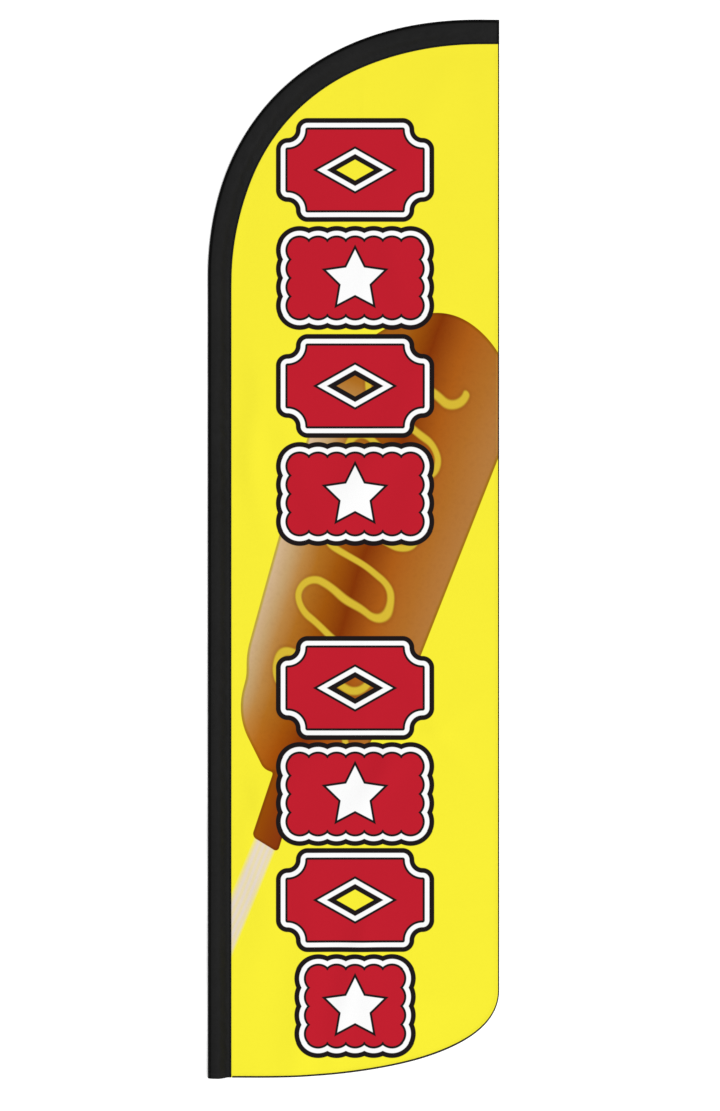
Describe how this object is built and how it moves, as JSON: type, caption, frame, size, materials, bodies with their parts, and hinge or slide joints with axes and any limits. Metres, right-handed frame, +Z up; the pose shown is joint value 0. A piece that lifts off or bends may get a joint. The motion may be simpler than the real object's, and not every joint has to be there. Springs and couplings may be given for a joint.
{
  "type": "feather flag",
  "caption": "Tall printed feather flag with a black pole sleeve up its straight side and over its curved top, lying flat with the print up.",
  "frame": {"origin": "on the ground, under the middle of the flag's length and width as it lies flat", "axes": "+Z up out of the printed side, +Y along the straight pole sleeve towards the curved top, +X from the pole sleeve to the free edge"},
  "size_m": [0.9652, 3.5052, 0.031],
  "materials": {
    "printed_cloth": "yellow knitted polyester with a dyed-through print and a soft sheen",
    "sleeve_cloth": "matt black woven polyester",
    "overlock_thread": "dark polyester overlock thread"
  },
  "bodies": {
    "root": {"printed_panel": "printed_cloth", "pole_sleeve": "sleeve_cloth", "edge_overlock": "overlock_thread"}
  },
  "joints": []
}
